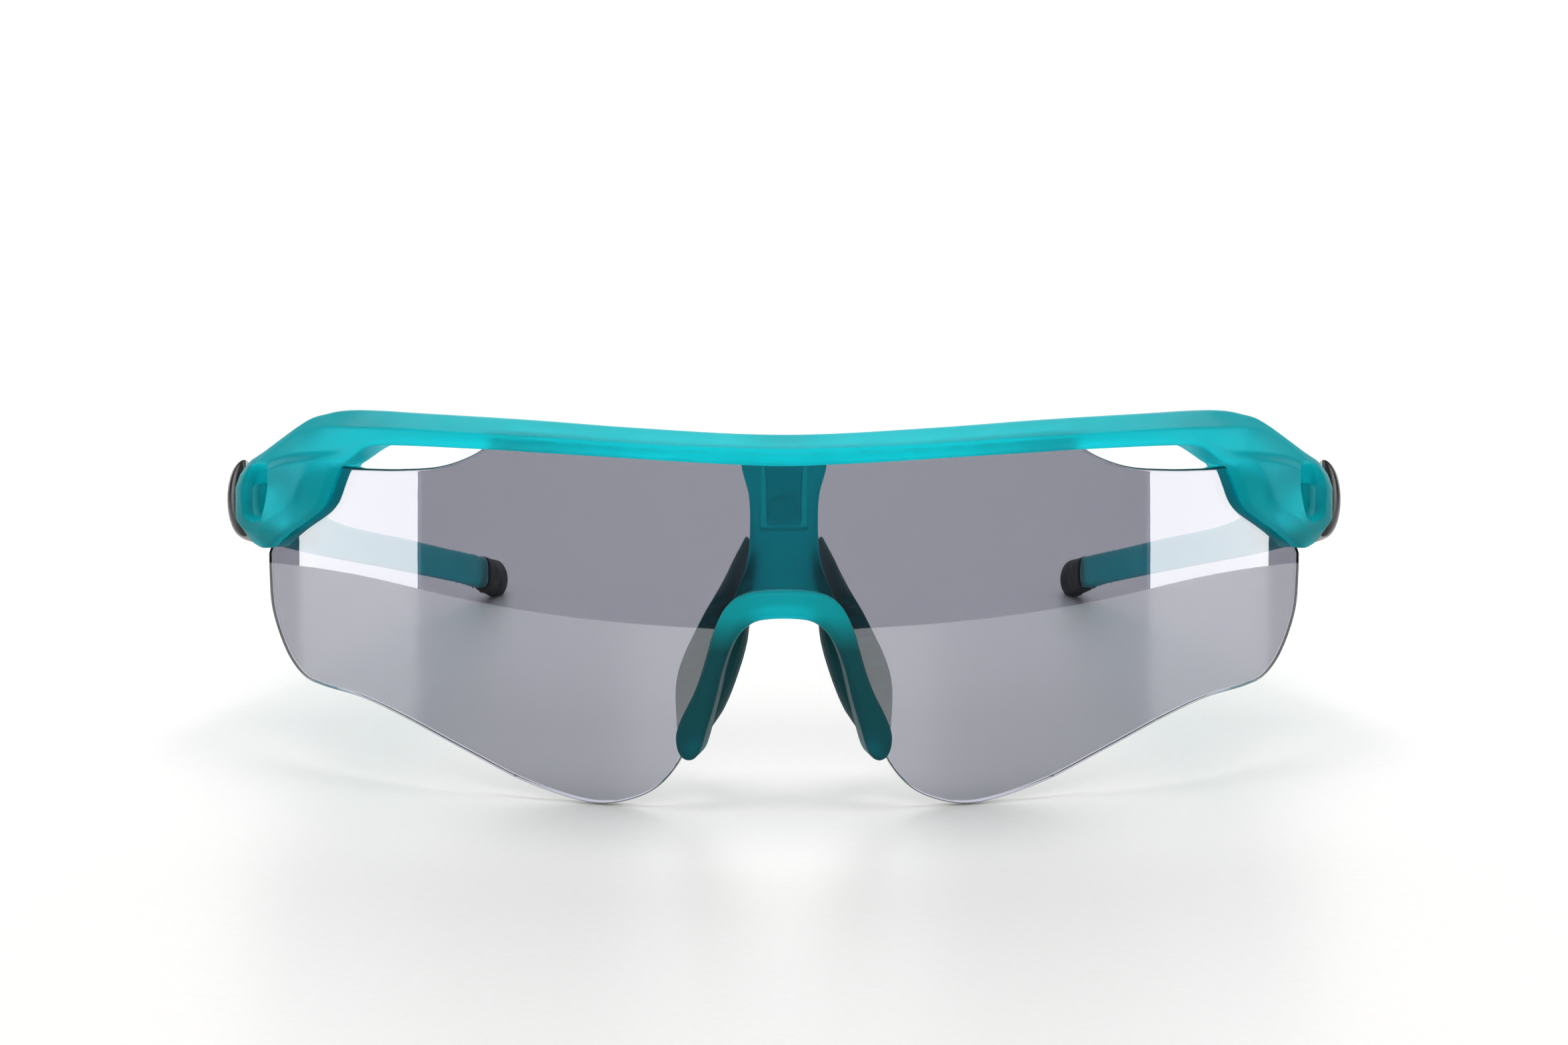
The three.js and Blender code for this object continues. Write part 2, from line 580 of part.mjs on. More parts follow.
// The glossy cap on the outside of the arm's front end, tapering back with the arm.
function hingeCover() {
  const END = 63;
  const START = WALL_END_Y + GAP;
  const STEPS = 9;
  const ROUND = 8;
  const rings = [];
  for (let i = 0; i <= STEPS; i += 1) {
    const t = i / STEPS;
    const y = START + (END - START) * t;
    const foot = arm.foot(y) - 0.15;
    const top = arm.top(y) + 0.15;
    const fullness = Math.sqrt(1 - Math.max(0, 1 - t / 0.16) ** 2);
    const bulge = 0.35 + 2.4 * (0.15 + 0.85 * fullness) * (1 - t ** 3);
    const face = arm.outer(y) + GAP;
    const half = ((top - foot) / 2) * (1 - 0.55 * t ** 4);
    const ring = [];
    for (let j = 0; j <= ROUND; j += 1) {
      const angle = -Math.PI / 2 + (Math.PI * j) / ROUND;
      const rise = Math.cos(angle) ** 0.8;
      ring.push(new THREE.Vector3(face + 0.15 + bulge * rise, y, (foot + top) / 2 + half * Math.sin(angle)));
    }
    ring.push(new THREE.Vector3(face, y, (foot + top) / 2 + half * 0.98));
    ring.push(new THREE.Vector3(face, y, (foot + top) / 2 - half * 0.98));
    rings.push(ring);
  }
  return loft(rings);
}

function hingeScrew() {
  const top = FORK_TOP[1];
  const under = top - SCREW_HEAD_HEIGHT;
  const shaft = post(SCREW_RADIUS, [FORK_BOTTOM[0] + 0.2, under + 0.1], 16);
  const head = post(SCREW_HEAD_RADIUS, [under, top]);
  const slot = block([HINGE_X - 2, HINGE_X + 2], [HINGE_Y - 0.2, HINGE_Y + 0.2], [top - 0.35, top + 1]);
  return cut(join(shaft, head), slot);
}

function hingeNut() {
  const heights = [FORK_BOTTOM[0] + 0.1, FORK_BOTTOM[1] - 0.5 - GAP];
  return cut(post(NUT_RADIUS, heights, 12), post(SCREW_RADIUS + GAP, [26, 44], 16));
}

// ---------------------------------------------------------------- assembly

function piece(name, geometry, look) {
  geometry.computeVertexNormals();
  const mesh = new THREE.Mesh(geometry, new THREE.MeshStandardMaterial(COLOURS[look]));
  mesh.name = name;
  return mesh;
}

const sunglasses = new THREE.Group();
sunglasses.rotation.x = -rad(LEAN_DEG);
sunglasses.position.y = -CENTRE_TO_APEX;
sunglasses.add(piece('front_frame', frontFrame(), 'teal'));
sunglasses.add(piece('shield_lens', lensSolid(), 'smoke'));
sunglasses.add(piece('nose_bridge', noseBridge(), 'teal'));

const pad = cut(nosePad(), ...padSlots());
const shapes = {
  nose_pad: [pad, 'teal'],
  temple: [temple(), 'teal'],
  temple_tip: [templeTip(), 'black_rubber'],
  hinge_cover: [hingeCover(), 'black_gloss'],
  hinge_screw: [hingeScrew(), 'steel'],
  hinge_nut: [hingeNut(), 'brass'],
};

for (const [name, [shape, look]] of Object.entries(shapes)) {
  sunglasses.add(piece(`${name}_left`, shape, look));
  sunglasses.add(piece(`${name}_right`, mirrored(shape), look));
}

export default sunglasses;
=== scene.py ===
import json
import math

import bmesh
import bpy
import numpy as np
from mathutils import Matrix, Vector


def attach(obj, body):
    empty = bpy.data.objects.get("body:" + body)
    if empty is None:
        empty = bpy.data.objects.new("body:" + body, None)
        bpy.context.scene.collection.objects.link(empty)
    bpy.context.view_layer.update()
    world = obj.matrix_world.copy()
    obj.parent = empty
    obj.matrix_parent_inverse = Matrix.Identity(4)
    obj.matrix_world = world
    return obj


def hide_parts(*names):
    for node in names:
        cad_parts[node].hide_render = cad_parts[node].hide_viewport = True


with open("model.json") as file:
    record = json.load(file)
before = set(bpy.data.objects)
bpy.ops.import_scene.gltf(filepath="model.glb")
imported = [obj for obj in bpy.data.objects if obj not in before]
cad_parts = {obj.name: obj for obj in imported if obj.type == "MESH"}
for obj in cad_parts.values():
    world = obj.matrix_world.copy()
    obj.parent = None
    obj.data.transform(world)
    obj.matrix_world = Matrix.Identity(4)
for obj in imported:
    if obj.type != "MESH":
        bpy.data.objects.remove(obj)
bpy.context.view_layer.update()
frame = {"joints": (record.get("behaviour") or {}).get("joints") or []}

# The glasses are drawn in millimetres, upright, with the lens's front face touching y = 0 at x = 0.
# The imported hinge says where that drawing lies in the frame.
# It leans back a little there, because the tips lie on the table.
LEAN_DEG = 4
LENS_RADIUS = 84
LENS_THICKNESS = 2
HINGE = Vector((66, 43.6, 35))
BEND_DEG = 52
BEND_RADIUS = 4
WALL_END_Y = 41.5
FORK_RADIUS = 2.6
FORK_TOP = (37.2, 39.2)
FORK_BOTTOM = (31, 33)
SCREW_RADIUS = 0.7
SCREW_HOLE_RADIUS = 1
SCREW_HEAD_RADIUS = 1.3
SCREW_HEAD_HEIGHT = 0.7
HEAD_RECESS_RADIUS = 1.5
HEAD_RECESS_DEPTH = 1
NUT_RADIUS = 1.5
NUT_RECESS_RADIUS = 1.8
NUT_RECESS_ROOF = 0.5
TIP_START_Y = 143
TIP_END_Y = 155.8
COVER_END_Y = 63
GAP = 0.3

hinge_joint = next(j for j in frame["joints"] if j["name"] == "left_arm_fold")
TO_ROW = (
    Matrix.Translation(Vector(hinge_joint["pos_m"]))
    @ Matrix.Rotation(math.radians(-LEAN_DEG), 4, "X")
    @ Matrix.Scale(0.001, 4)
    @ Matrix.Translation(-HINGE)
)


# ---------------------------------------------------------------- curves and the lens's cylinder


def smooth_line(points, steps=16):
    """Points along a smooth (centripetal Catmull-Rom) line through the given points."""
    given = np.array(points, float)
    given = np.vstack([2 * given[0] - given[1], given, 2 * given[-1] - given[-2]])
    t = np.linspace(0, 1, steps, endpoint=False)[:, None]
    parts = []
    for a, b, c, d in zip(given, given[1:], given[2:], given[3:]):
        before, here, after = (np.linalg.norm(v) ** 0.5 for v in (b - a, c - b, d - c))
        start = here * ((b - a) / before - (c - a) / (before + here) + (c - b) / here)
        end = here * ((c - b) / here - (d - b) / (here + after) + (d - c) / after)
        held = (2 * t**3 - 3 * t**2 + 1) * b + (3 * t**2 - 2 * t**3) * c
        parts.append(held + (t**3 - 2 * t**2 + t) * start + (t**3 - t**2) * end)
    return np.vstack([*parts, given[-2:-1]])


def rail(points):
    """A smooth line through points (s, value, ...), as a function that gives the values at any s."""
    through = [tuple(p) for p in points]
    if through[0][0] == 0:
        through.insert(0, (-through[1][0], *through[1][1:]))
    line = smooth_line(through)
    return lambda s: [np.interp(s, line[:, 0], line[:, i]) for i in range(1, line.shape[1])]


BEND_START = LENS_RADIUS * math.radians(BEND_DEG)
BEND_END = BEND_START + BEND_RADIUS * math.radians(90 - BEND_DEG)
BEND_X = (LENS_RADIUS - BEND_RADIUS) * math.sin(math.radians(BEND_DEG))
BEND_Y = LENS_RADIUS - (LENS_RADIUS - BEND_RADIUS) * math.cos(math.radians(BEND_DEG))
SHEET_END = BEND_END + WALL_END_Y - BEND_Y


def on_cylinder(s, n, z):
    """Points at length s round the lens from the middle, n in front of its face, and height z."""
    angle = np.asarray(s) / LENS_RADIUS
    r = LENS_RADIUS + np.asarray(n)
    return np.stack(np.broadcast_arrays(r * np.sin(angle), LENS_RADIUS - r * np.cos(angle), z), -1)


def on_sheet(s, n, z):
    """The same, but past the lens the sheet bends sharply and runs straight back."""
    s, n, z = np.broadcast_arrays(s, n, z)
    along = np.abs(s)
    r = BEND_RADIUS + n
    turn = np.minimum(math.radians(BEND_DEG) + (along - BEND_START) / BEND_RADIUS, math.pi / 2)
    back = np.maximum(along - BEND_END, 0)
    x = np.sign(s) * (BEND_X + r * np.sin(turn))
    bent = np.stack([x, BEND_Y - r * np.cos(turn) + back, z], -1)
    return np.where((along <= BEND_START)[..., None], on_cylinder(s, n, z), bent)


# ---------------------------------------------------------------- outlines


def softened(corners, soften=1.0, steps=6):
    """A closed outline with its corners rounded off. At soften = 1 it is one smooth curve."""
    points = np.array(corners, float)
    t = np.linspace(0, 1, steps, endpoint=False)[:, None]
    parts = []
    for i, corner in enumerate(points):
        before = corner + (points[i - 1] - corner) * soften / 2
        after = corner + (points[(i + 1) % len(points)] - corner) * soften / 2
        parts.append((1 - t) ** 2 * before + 2 * t * (1 - t) * corner + t**2 * after)
    return np.vstack(parts)


def symmetric(right_half):
    """The whole outline from its right half, given from top to foot."""
    right = np.array(right_half, float)
    left = right[right[:, 0] > 0] * (-1, 1)
    return np.vstack([right, left[::-1]])


def even(outline, spacing):
    """The closed outline again, with points at even distances."""
    loop = np.vstack([outline, outline[:1]])
    run = np.concatenate([[0], np.cumsum(np.linalg.norm(np.diff(loop, axis=0), axis=1))])
    at = np.linspace(0, run[-1], max(8, int(run[-1] / spacing)), endpoint=False)
    return np.stack([np.interp(at, run, loop[:, 0]), np.interp(at, run, loop[:, 1])], -1)


def inset(outline, distance):
    """The closed outline moved inwards by distance, or outwards where it is negative."""
    ahead = np.roll(outline, -1, axis=0) - np.roll(outline, 1, axis=0)
    normal = np.stack([-ahead[:, 1], ahead[:, 0]], -1) / np.linalg.norm(ahead, axis=1)[:, None]
    area = np.sum(outline[:, 0] * np.roll(outline[:, 1], -1) - outline[:, 1] * np.roll(outline[:, 0], -1))
    return outline + normal * distance * np.sign(area)


def rounded_rings(corners, radii, steps=4):
    """Rings of corners, shape (rings, corners, 2), with each corner rounded to about its radius."""
    before = np.roll(corners, 1, axis=1) - corners
    after = np.roll(corners, -1, axis=1) - corners
    share = []
    for edge in (before, after):
        length = np.maximum(np.linalg.norm(edge, axis=2), 1e-6)
        share.append(np.minimum(np.array(radii) / length, 0.45)[..., None])
    start = corners + before * share[0]
    end = corners + after * share[1]
    t = np.linspace(0, 1, steps)[None, None, :, None]
    curve = (1 - t) ** 2 * start[:, :, None] + 2 * t * (1 - t) * corners[:, :, None] + t**2 * end[:, :, None]
    return curve.reshape(len(corners), -1, 2)


# ---------------------------------------------------------------- solids


def loft(rings):
    """A closed bmesh through rings of points, with a flat face at each end."""
    bm = bmesh.new()
    made = [[bm.verts.new(p) for p in ring] for ring in rings]
    for a, b in zip(made, made[1:]):
        for i in range(len(a)):
            j = (i + 1) % len(a)
            bm.faces.new((a[i], a[j], b[j], b[i]))
    bm.faces.new(made[0][::-1])
    bm.faces.new(made[-1])
    bmesh.ops.recalc_face_normals(bm, faces=bm.faces)
    if bm.calc_volume(signed=True) < 0:
        bmesh.ops.reverse_faces(bm, faces=bm.faces)
    return bm


def plate_on_lens(outline, back, front, edge, spacing=0.3, strip=0.8):
    """A plate with round edges, from its outline in (s, z), that reaches from n = back to n = front.

    Spacing is the step along the outline, and strip the step round the lens's cylinder, which it is bent on.
    """
    flat = even(outline, spacing)
    rings = []
    turns = np.linspace(0, math.pi / 2, 5)
    for side in (-1, 1):
        face = back if side < 0 else front
        steps = [(edge * (1 - math.sin(a)), face - side * edge * (1 - math.cos(a))) for a in turns]
        steps.insert(0, (edge * 1.25, face))
        rings += steps if side < 0 else steps[::-1]
    bm = loft([np.insert(inset(flat, d), 1, n, axis=1) for d, n in rings])
    bmesh.ops.triangulate(bm, faces=[f for f in bm.faces if len(f.verts) > 4])
    reach = int(np.abs(flat[:, 0]).max() / strip)
    for i in range(-reach - 1, reach + 1):
        everything = [*bm.verts, *bm.edges, *bm.faces]
        at = ((i + 0.5) * strip, 0, 0)
        bmesh.ops.bisect_plane(bm, geom=everything, plane_co=at, plane_no=(1, 0, 0))
    bmesh.ops.remove_doubles(bm, verts=bm.verts, dist=1e-4)
    for v in bm.verts:
        v.co = on_cylinder(v.co.x, v.co.y, v.co.z)
    bmesh.ops.reverse_faces(bm, faces=bm.faces)
    return bm


def prism(outline, low, high):
    """An upright solid on an outline in (x, y)."""
    return loft([np.insert(outline, 2, z, axis=1) for z in (low, high)])


def turned(profile, sides=48):
    """A solid turned about the left hinge's upright line, from its (radius, z) profile, foot to top."""
    angle = np.linspace(0, 2 * math.pi, sides, endpoint=False)
    circle = np.stack([np.cos(angle), np.sin(angle)], -1)
    return loft([np.insert(np.array(HINGE.xy) + circle * r, 2, z, axis=1) for r, z in profile])


def post(radius, low, high):
    return turned([(radius, low), (radius, high)])


def mirrored(bm):
    copy = bm.copy()
    bmesh.ops.scale(copy, vec=(-1, 1, 1), verts=copy.verts)
    bmesh.ops.reverse_faces(copy, faces=copy.faces)
    return copy


def both_sides(*solids):
    return [*solids, *(mirrored(bm) for bm in solids)]


# ---------------------------------------------------------------- pieces


def as_object(name, bm):
    mesh = bpy.data.meshes.new(name)
    bm.to_mesh(mesh)
    thing = bpy.data.objects.new(name, mesh)
    bpy.context.scene.collection.objects.link(thing)
    return thing


def settle(thing):
    """Makes the object's modifiers part of its mesh."""
    graph = bpy.context.evaluated_depsgraph_get()
    mesh = bpy.data.meshes.new_from_object(thing.evaluated_get(graph))
    thing.modifiers.clear()
    thing.data = mesh


def combined(name, solids, cuts=()):
    """One object from closed solids: all of solids joined, and then all of cuts taken away."""
    thing = as_object(name, solids[0])
    tools = []
    for operation, group in (("UNION", solids[1:]), ("DIFFERENCE", cuts)):
        for bm in group:
            tool = as_object(name + "_tool", bm)
            boolean = thing.modifiers.new("cut", "BOOLEAN")
            boolean.operation = operation
            boolean.solver = "MANIFOLD"
            boolean.object = tool
            tools.append(tool)
    settle(thing)
    for tool in tools:
        bpy.data.objects.remove(tool)
    return thing


def soften_edges(thing, voxel, rounds):
    """Gives a moulded piece evenly rounded edges: a fine remesh, then a light smoothing."""
    remesh = thing.modifiers.new("remesh", "REMESH")
    remesh.mode = "VOXEL"
    remesh.voxel_size = voxel
    smooth = thing.modifiers.new("smooth", "SMOOTH")
    smooth.factor = 0.5
    smooth.iterations = rounds
    settle(thing)


def place(thing, body, node, material):
    """Moves a drawn piece into the frame, and lets it stand for its CAD node."""
    thing.data.transform(TO_ROW)
    thing.data.shade_smooth()
    thing.data.materials.clear()
    thing.data.materials.append(material)
    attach(thing, body)
    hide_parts(node)


def place_pair(make, node, material, body="{}_arm"):
    """Makes a piece for each side of the glasses, the right one as the mirror of the left."""
    for side in ("left", "right"):
        thing = make(f"{node}_{side}_piece")
        if side == "right":
            thing.data.transform(Matrix.Scale(-1, 4, (1, 0, 0)))
            thing.data.flip_normals()
        place(thing, body.format(side), f"{node}_{side}", material)


# ---------------------------------------------------------------- shield lens

LENS_LOWER_EDGE = [
    (0, 25.2), (3, 25), (5.6, 23.2), (7.5, 20), (8.9, 16), (10.5, 12), (11.8, 8), (13.2, 5.2), (15.8, 2.4),
    (19.3, 0.85), (22.7, 0.35), (26.2, 0.75), (33.3, 2.7), (40.9, 5.7), (51.2, 9.5), (58, 11.3),
    (65.7, 12.2), (69, 12.9), (72.2, 14.9), (75, 18.2), (76.8, 21.8), (77.3, 26.4),
]
LENS_UPPER_EDGE = [
    (0, 43.1), (14, 43.5), (26, 44.2), (34.5, 44.7), (36.6, 44.5), (37.9, 43.7), (40.1, 42.5),
    (44.5, 41.1), (50.7, 40.5), (57, 40.3), (65.5, 40.1), (67.6, 38.4), (69.2, 35.4), (71.2, 33.4),
    (74, 31.6), (76.2, 29.9), (77.3, 28.4),
]


def lens_outline():
    upper = smooth_line([(-s, z) for s, z in LENS_UPPER_EDGE[1:2]] + LENS_UPPER_EDGE)
    lower = smooth_line([(-s, z) for s, z in LENS_LOWER_EDGE[1:2]] + LENS_LOWER_EDGE)
    half = np.vstack([upper[upper[:, 0] >= 0], lower[lower[:, 0] >= 0][::-1]])
    return symmetric(half)


def lens(name):
    return as_object(name, plate_on_lens(lens_outline(), -LENS_THICKNESS, 0, 0.3, 0.35))


def lens_slot():
    clearance = 0.15
    outline = inset(even(lens_outline(), 0.5), -clearance)
    return plate_on_lens(outline, -LENS_THICKNESS - clearance, clearance, 0.02, 0.5, 1)


# ---------------------------------------------------------------- front frame

# Lines that run from the middle of the brow out over the lug to the side wall, as (s, height, offset).
RIDGE = rail([
    (0, 45.65, -0.5), (18.8, 46.4, -0.5), (30, 47, -0.5), (38, 47.3, -0.5), (50, 47.55, -0.5),
    (56.5, 47.65, -0.3), (59.1, 47.6, 0.5), (61, 47.4, 0.9), (63, 47, 1.1), (65, 46.5, 1.5),
    (67.3, 45.4, 1.9), (69.5, 44.3, 2), (72, 43, 2.2), (74, 42, 2.3), (76.5, 40.9, 2.4),
    (78, 40.2, 2.3), (86, 40.1, 2),
])
BEVEL = rail([
    (0, 44.05, 3.2), (13.6, 44.4, 3.2), (28, 45.1, 3.2), (40, 45.5, 3.2), (48, 45.7, 3.2),
    (56.5, 45.6, 3.2), (60, 45.5, 3), (63, 45.2, 2.8), (66.5, 44.4, 2.6), (69.5, 43, 2.7),
    (72.9, 41.2, 3), (75.6, 39.9, 3.2), (78, 39.2, 3), (86, 39.1, 2.7),
])
VALLEY = rail([
    (0, 43.8, 2.7), (13.6, 44.15, 2.7), (28, 44.85, 2.8), (40, 45.2, 3.1), (50, 45, 3.1),
    (54, 44.5, 2.9), (58.6, 42.8, 2.6), (65.2, 42, 2.6), (70.2, 41.2, 2.9), (74, 39.7, 3.4),
    (78, 38.5, 3.5), (86, 38.4, 3.2),
])
PANEL_TOP = rail([
    (0, 43.55, 3.15), (13.6, 43.9, 3.15), (28, 44.6, 3.2), (40, 44.9, 3.2), (50, 44.6, 3.1),
    (54, 44.1, 2.9), (58.8, 42.2, 2.8), (63.4, 41.3, 3.6), (70, 40, 4), (74.5, 37.8, 4.1),
    (78, 36.8, 4.1), (86, 36.6, 3.9),
])
PANEL_FOOT = rail([
    (0, 42.8, 3.05), (13.6, 43.2, 3.05), (28, 43.9, 3.1), (40, 44.2, 3.1), (50, 44, 3),
    (54, 43.4, 2.8), (57.4, 41.6, 2.7), (60.5, 41.3, 3.1), (62.4, 41, 3.5), (63.6, 39.9, 3.9),
    (64.8, 38, 4), (66.1, 36, 4), (71.4, 33.3, 4), (74.5, 31.4, 3.8), (76.6, 31.8, 3.9),
    (78, 32.7, 4.1), (86, 32.8, 3.9),
])
LIP = rail([
    (0, 42, 2.3), (10, 42.35, 2.3), (18.8, 42.8, 2.3), (28, 43.2, 2.4), (37, 43.5, 2.4),
    (52.4, 43.45, 2.4), (54.2, 43.1, 2.4), (55.8, 42.2, 2.4), (57.7, 41.1, 2.3), (59.5, 40.65, 2.1),
    (60.5, 40.45, 2), (61.1, 39.9, 2), (61.8, 38.9, 2), (62.7, 37.2, 2), (63.6, 35.6, 2),
    (64.8, 34.5, 2), (66.9, 33.35, 2), (69.5, 32.15, 2), (72, 30.9, 2), (73.8, 29.9, 2),
    (75.2, 29.2, 2), (76.8, 29.6, 2.2), (78, 30.3, 2.3), (86, 30.4, 2),
])
# The rear lip and the rear face of the same sweep, as (s, height) and (s, offset).
REAR_LIP = rail([
    (0, 42.5), (18.8, 42.9), (37, 43.4), (53.6, 43.4), (55.8, 43), (60.2, 40.9), (61.3, 40.4),
    (61.9, 39.7), (62.7, 38.4), (63.6, 36.7), (64.5, 35.3), (65.5, 34.4), (66.6, 33.6), (68.4, 32.6),
    (70.6, 31.5), (72.8, 30.6), (74.6, 30.1), (76.8, 29.9), (78, 30.4), (86, 30.4),
])
REAR_FACE = rail([(0, -3.8), (76, -3.8), (78.6, -3.4), (80.2, -0.6), (86, -0.4)])

FRONT_LIP_BACK = -0.8
REAR_LIP_FRONT = -2.6
# The sweep's section has twelve corners: the ridge down the front to the lip, the lens's groove, the back.
CORNER_RADII = (0.5, 0.22, 0.2, 0.2, 0.3, 0.35, 0.1, 0.1, 0.25, 0.3, 0.6, 0.6)


def frame_body():
    s = np.concatenate([np.arange(0, 48, 0.8), np.arange(48, 82, 0.35), [83, 86, 89, SHEET_END]])
    s = np.concatenate([-s[:0:-1], s])
    along = np.abs(s)
    ridge, lip, rear_lip = RIDGE(along), LIP(along), REAR_LIP(along)
    rear = REAR_FACE(along)[0]
    corners = [line(along) for line in (RIDGE, BEVEL, VALLEY, PANEL_TOP, PANEL_FOOT, LIP)]
    corners += [
        (lip[0], np.maximum(FRONT_LIP_BACK, rear + 0.9)),
        (rear_lip[0], np.maximum(REAR_LIP_FRONT, rear + 0.6)),
        (rear_lip[0], rear + 0.4),
        (rear_lip[0] + 0.5, rear),
        (ridge[0] - 0.9, rear),
        (ridge[0] - 0.2, rear + 0.8),
    ]
    z_and_n = np.array(corners).transpose(2, 0, 1)
    outlines = rounded_rings(z_and_n, CORNER_RADII)
    return loft([on_sheet(at, ring[:, 1], ring[:, 0]) for at, ring in zip(s, outlines)])


# The window beside the hinge: its D-shaped mouth, and the slot it narrows to, as outlines in (x, z).
WINDOW_MOUTH = [
    (65.8, 40.3), (67.5, 40.2), (68.9, 39.6), (69.5, 38.2), (69.9, 35.4), (69.6, 33.3), (68.6, 32.9),
    (67, 32.9), (66.2, 35.3), (65.8, 37.6),
]
WINDOW_SLOT = [
    (65.9, 37.5), (67.4, 37.5), (68.2, 37.4), (68.5, 37), (68.6, 35.4), (68.5, 33.7), (68.1, 33.3),
    (67.2, 33.2), (66.2, 33.9), (65.9, 35.7),
]
WINDOW_DEPTHS = (18, 30.3, 32.2, 39)


def window():
    outlines = [softened(o, 0.7) for o in (WINDOW_MOUTH, WINDOW_MOUTH, WINDOW_SLOT, WINDOW_SLOT)]
    return loft([np.insert(o, 1, y, axis=1) for o, y in zip(outlines, WINDOW_DEPTHS)])


def fork(low, high):
    """One of the two plates that hold the arm's knuckle. It grows out of the lug's rear."""
    plate = [
        (HINGE.x - FORK_RADIUS, HINGE.y), (HINGE.x - FORK_RADIUS, 38), (60.6, 33), (63.5, 30.4), (68.6, 34),
        (68.6, WALL_END_Y), (HINGE.x + 2.2, WALL_END_Y), (HINGE.x + 2.2, HINGE.y),
    ]
    return [prism(plate, low, high), post(FORK_RADIUS, low - 0.01, high + 0.01)]


def tongue():
    """The strip under the brow's middle, with its button, that the nose piece hooks over."""
    strip = symmetric([(2.5, 43.3), (2.2, 39), (2.2, 34.4)])
    button = symmetric([(1.3, 37.9), (2.05, 36), (2.05, 34.5)])
    return [
        plate_on_lens(softened(strip, 0.3), -3.6, -2.6, 0.1),
        plate_on_lens(softened(button, 0.6), -3.5, -2.35, 0.12),
    ]


def front_frame(name):
    low, high = FORK_BOTTOM[0], FORK_TOP[1]
    hinge_space = prism([(62.2, 32), (68.3, 32), (68.3, 46), (62.2, 46)], FORK_BOTTOM[1], FORK_TOP[0])
    hinge_cuts = both_sides(
        window(),
        hinge_space,
        post(SCREW_HOLE_RADIUS, low - 5, high + 5),
        post(HEAD_RECESS_RADIUS, high - HEAD_RECESS_DEPTH, high + 5),
        post(NUT_RECESS_RADIUS, low - 5, FORK_BOTTOM[1] - NUT_RECESS_ROOF),
    )
    forks = both_sides(*fork(*FORK_TOP), *fork(*FORK_BOTTOM))
    thing = combined(name, [frame_body(), *tongue(), *forks], [lens_slot(), *hinge_cuts])
    soften_edges(thing, 0.22, 1)
    return thing


# ---------------------------------------------------------------- nose piece

RIM_OUTER = [
    (3.4, 26.9), (6.6, 25.7), (8.4, 22.3), (9.4, 18.3), (10.6, 14.6), (12.3, 11.4), (13.2, 8.9), (12.4, 6.1),
]
RIM_INNER = [(10.3, 6.2), (9.1, 10.3), (8.1, 13.6), (7.2, 17.6), (6, 20.8), (3.9, 23.1), (1.6, 23.5)]
STEM_SIDE = [
    (4, 42.5), (5.5, 42.5), (4.9, 40.2), (4.2, 38), (4.2, 32.5), (4.7, 29.2), (6, 26.4), (7.4, 22.6), (4, 24),
]
STEM_CHANNEL = [(-2.85, 0), (2.85, 0), (2.85, 3.9), (-2.85, 3.9)]

PAD_ROOT = [(3.4, 6.4, 30), (4.9, 5.2, 25), (7.3, 4.6, 19.5), (9.3, 4.7, 13.5), (11, 4.9, 8.4)]
PAD_RIDGE = [(3, 9, 31), (3.4, 8.4, 25), (1.8, 8.2, 19.6), (3.4, 8, 13.5), (7.6, 7.8, 7.9)]
PAD_RIM = [(4.6, 15.4, 32.2), (7.1, 16, 26.8), (10.3, 16, 21.2), (13, 15.6, 14.8), (13.2, 13.6, 8.4)]


def nose_pad(grow=0):
    """One side's wing. It runs from the rim's leg in towards the nose and back out, t from top to foot."""
    lines = [smooth_line(points, 12) for points in (PAD_ROOT, PAD_RIDGE, PAD_RIM)]
    u = np.linspace(0, 1, 13)[:, None]
    rings = []
    count = len(lines[0])
    for i in range(count):
        t = i / (count - 1)
        root, ridge, rim = (line[i] for line in lines)
        ahead = [line[min(i + 1, count - 1)] - line[max(i - 1, 0)] for line in lines]
        along = ahead[0] + ahead[2]
        across = (1 - u) ** 2 * root + 2 * u * (1 - u) * ridge + u**2 * rim
        tangent = 2 * (1 - u) * (ridge - root) + 2 * u * (rim - ridge)
        normal = np.cross(tangent, along)
        normal /= np.linalg.norm(normal, axis=1)[:, None]
        taper = min(1, 0.3 + 5 * t, 0.3 + 5 * (1 - t))
        edge = np.clip(0.35 + 6 * np.minimum(u, 1 - u), 0, 1)
        half = (0.55 + 0.35 * u) * edge * taper + grow
        past = along / np.linalg.norm(along) * ((grow if i == count - 1 else 0) - (grow if i == 0 else 0))
        tangent /= np.linalg.norm(tangent, axis=1)[:, None]
        ends = np.where(u == 0, -grow, np.where(u == 1, grow, 0.0))
        middle = across + tangent * ends + past
        rings.append(np.vstack([middle + normal * half, (middle - normal * half)[::-1]]))
    return loft(rings)


def pad_slots():
    """A row of small square windows just inside the pad's rear rim, which let it flex."""
    rim = smooth_line(PAD_RIM, 24)
    slots = []
    for i in range(5):
        x, y, z = rim[int((0.38 + 0.105 * i) * (len(rim) - 1))]
        corners = [(x - 3, y - 2.5), (x + 1.5, y - 2.5), (x + 1.5, y - 0.9), (x - 3, y - 0.9)]
        slots.append(prism(corners, z - 0.6, z + 0.6))
    return slots


def pad_piece(name):
    thing = combined(name, [nose_pad()], pad_slots())
    soften_edges(thing, 0.14, 2)
    return thing


def nose_bridge(name):
    rim = plate_on_lens(softened(symmetric([*RIM_OUTER, *RIM_INNER])), -5.6, 1.7, 0.6)
    stem = plate_on_lens(softened(symmetric(STEM_SIDE)), -5.6, -2.4, 0.35)
    cuts = [prism(STEM_CHANNEL, 34.1, 46), lens_slot(), *both_sides(nose_pad(GAP))]
    thing = combined(name, [rim, stem], cuts)
    soften_edges(thing, 0.16, 3)
    return thing


# ---------------------------------------------------------------- arms

